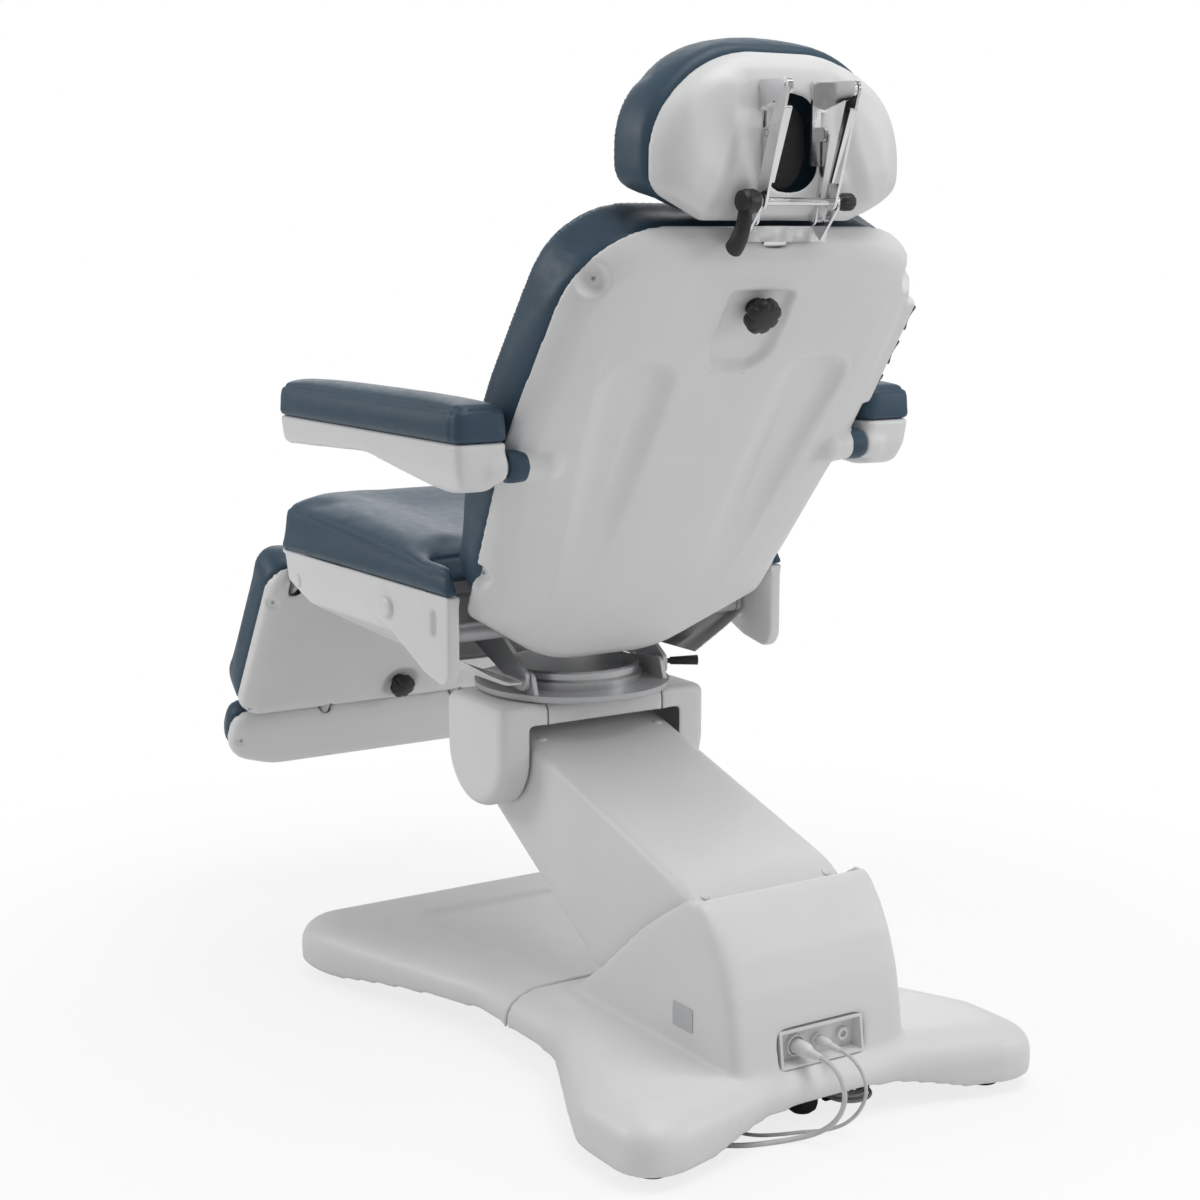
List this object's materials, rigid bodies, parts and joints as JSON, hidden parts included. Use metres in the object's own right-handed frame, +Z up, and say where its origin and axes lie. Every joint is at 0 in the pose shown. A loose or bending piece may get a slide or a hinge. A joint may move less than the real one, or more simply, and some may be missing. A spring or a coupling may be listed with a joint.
{
  "type": "electric treatment table",
  "caption": "Padded clinic treatment chair on a motorised lift base, with swivel seat, reclining back, leg rest, armrests and adjustable headrest.",
  "frame": {"origin": "on the floor under the swivel axis, in the middle of the footprint", "axes": "+Z up, -Y to the front of the chair, +X to the sitter's left"},
  "size_m": [0.772, 1.4521, 1.419],
  "materials": {
    "upholstery": "soft grained",
    "white_plastic": "satin moulded",
    "grey_steel": "powder coated",
    "bright_steel": "polished",
    "plain_steel": "brushed",
    "black_plastic": "matte",
    "dark_rubber": "matte",
    "pale_cord": "satin"
  },
  "bodies": {
    "base": {"base_front_cover": "white_plastic", "base_rear_cover": "white_plastic", "connector_panel": "white_plastic", "base_frame": "grey_steel", "base_shafts": "plain_steel", "feet": "dark_rubber", "lift_motor": "black_plastic", "control_box": "black_plastic", "mains_connector": "white_plastic", "hand_connector": "white_plastic", "mains_lead": "pale_cord", "hand_lead": "pale_cord", "mains_coil": "pale_cord", "hand_coil": "pale_cord", "wall_plug": "white_plastic", "hand_control": "white_plastic", "cord_ties": "black_plastic"},
    "arm": {"lift_arm": "grey_steel", "arm_cover": "white_plastic"},
    "link": {"level_link": "grey_steel"},
    "head": {"knuckle_centre_cover": "white_plastic", "knuckle_cheek_left": "white_plastic", "knuckle_cheek_right": "white_plastic", "knuckle_frame": "grey_steel", "swivel_spindle": "plain_steel"},
    "swivel": {"turntable": "grey_steel", "swivel_drum": "plain_steel"},
    "swivel_lock": {"swivel_lever": "black_plastic"},
    "seat": {"seat_frame": "grey_steel", "seat_shell": "white_plastic", "seat_cushion": "upholstery", "back_motor": "black_plastic"},
    "back": {"back_shell": "white_plastic", "back_frame": "grey_steel", "back_cushion": "upholstery"},
    "post_knob": {"back_knob": "black_plastic"},
    "rocker_1": {"rocker_switch_1": "black_plastic"},
    "rocker_2": {"rocker_switch_2": "black_plastic"},
    "rocker_3": {"rocker_switch_3": "black_plastic"},
    "armrest_left": {"armrest_left_pad": "upholstery", "armrest_left_shell": "white_plastic"},
    "armrest_right": {"armrest_right_pad": "upholstery", "armrest_right_shell": "white_plastic"},
    "post": {"headrest_post": "bright_steel", "clamp_rod": "bright_steel"},
    "bracket_arms": {"head_arms": "bright_steel"},
    "bracket_links": {"head_links": "bright_steel"},
    "headrest": {"headrest_brackets": "bright_steel", "headrest_shell": "white_plastic", "headrest_cushion": "upholstery"},
    "lever": {"clamp_lever": "black_plastic"},
    "clamp": {"clamp_knob": "black_plastic"},
    "leg": {"leg_frame": "grey_steel", "leg_shell": "white_plastic", "leg_cushion": "upholstery"},
    "foot_knob": {"leg_knob": "black_plastic"},
    "foot": {"foot_frame": "grey_steel", "foot_shell": "white_plastic", "foot_cushion": "upholstery"}
  },
  "joints": [
    {"name": "lift", "type": "hinge", "parent": "base", "child": "arm", "pos_m": [0, 0.43, 0.19], "axis": [-1, 0, 0], "range_deg": [-16, 20]},
    {"name": "link_level", "type": "hinge", "parent": "base", "child": "link", "pos_m": [0, 0.43, 0.238], "axis": [-1, 0, 0], "range_deg": [-16, 20]},
    {"name": "head_level", "type": "hinge", "parent": "arm", "child": "head", "pos_m": [0, 0.012, 0.372], "axis": [-1, 0, 0], "range_deg": [-20, 16]},
    {"name": "swivel", "type": "hinge", "parent": "head", "child": "swivel", "pos_m": [0, 0, 0.488], "axis": [0, 0, 1], "range_deg": [-120, 120]},
    {"name": "swivel_lock", "type": "hinge", "parent": "swivel", "child": "swivel_lock", "pos_m": [-0.139, 0.024, 0.508], "axis": [0, 0, 1], "range_deg": [-15, 15]},
    {"name": "seat_tilt", "type": "hinge", "parent": "swivel", "child": "seat", "pos_m": [0, 0.062, 0.516], "axis": [-1, 0, 0], "range_deg": [0, 5]},
    {"name": "recline", "type": "hinge", "parent": "seat", "child": "back", "pos_m": [0, 0.06, 0.6], "axis": [-1, 0, 0], "range_deg": [-6, 50]},
    {"name": "leg_raise", "type": "hinge", "parent": "seat", "child": "leg", "pos_m": [0, -0.44, 0.64], "axis": [-1, 0, 0], "range_deg": [-2, 58]},
    {"name": "foot_slide", "type": "slide", "parent": "leg", "child": "foot", "axis": [0, -0.5255, -0.8508], "range_m": [0, 0.15]},
    {"name": "foot_clamp", "type": "hinge", "parent": "leg", "child": "foot_knob", "pos_m": [0, -0.58238, 0.38473], "axis": [0, 0.8508, -0.5255], "continuous": true},
    {"name": "armrest_left_swing", "type": "hinge", "parent": "back", "child": "armrest_left", "pos_m": [0.31, 0.318, 0.872], "axis": [-1, 0, 0], "range_deg": [0, 95]},
    {"name": "armrest_right_swing", "type": "hinge", "parent": "back", "child": "armrest_right", "pos_m": [-0.31, 0.318, 0.872], "axis": [-1, 0, 0], "range_deg": [0, 95]},
    {"name": "post_clamp", "type": "hinge", "parent": "back", "child": "post_knob", "pos_m": [0, 0.4736, 1.0737], "axis": [0, 0.829, -0.5592], "continuous": true},
    {"name": "post_slide", "type": "slide", "parent": "back", "child": "post", "axis": [0, 0.5592, 0.829], "range_m": [0, 0.11]},
    {"name": "bracket_swing", "type": "hinge", "parent": "post", "child": "bracket_arms", "pos_m": [0, 0.54996, 1.21703], "axis": [1, 0, 0], "range_deg": [-1.5, 9]},
    {"name": "link_swing", "type": "hinge", "parent": "post", "child": "bracket_links", "pos_m": [0, 0.52396, 1.19503], "axis": [1, 0, 0], "range_deg": [-2, 11]},
    {"name": "headrest_tilt", "type": "hinge", "parent": "bracket_arms", "child": "headrest", "pos_m": [0, 0.59496, 1.35803], "axis": [1, 0, 0], "range_deg": [-6, 1]},
    {"name": "clamp_lever_turn", "type": "hinge", "parent": "post", "child": "lever", "pos_m": [0.0745, 0.54996, 1.21703], "axis": [1, 0, 0], "range_deg": [0, 60]},
    {"name": "clamp_knob_turn", "type": "hinge", "parent": "post", "child": "clamp", "pos_m": [-0.0745, 0.54996, 1.21703], "axis": [-1, 0, 0], "continuous": true},
    {"name": "rocker_1_press", "type": "hinge", "parent": "back", "child": "rocker_1", "pos_m": [-0.285, 0.36096, 0.96393], "axis": [0, -0.829, 0.5592], "range_deg": [-3, 3], "stiffness_Nm_per_rad": 0.4},
    {"name": "rocker_2_press", "type": "hinge", "parent": "back", "child": "rocker_2", "pos_m": [-0.285, 0.39451, 1.01367], "axis": [0, -0.829, 0.5592], "range_deg": [-3, 3], "stiffness_Nm_per_rad": 0.4},
    {"name": "rocker_3_press", "type": "hinge", "parent": "back", "child": "rocker_3", "pos_m": [-0.285, 0.42806, 1.06341], "axis": [0, -0.829, 0.5592], "range_deg": [-3, 3], "stiffness_Nm_per_rad": 0.4}
  ],
  "couplings": [
    {"joint": "link_level", "follows": "lift", "ratio": 1},
    {"joint": "head_level", "follows": "lift", "ratio": -1},
    {"joint": "link_swing", "follows": "bracket_swing", "ratio": 1.12},
    {"joint": "headrest_tilt", "follows": "bracket_swing", "ratio": -0.61}
  ]
}
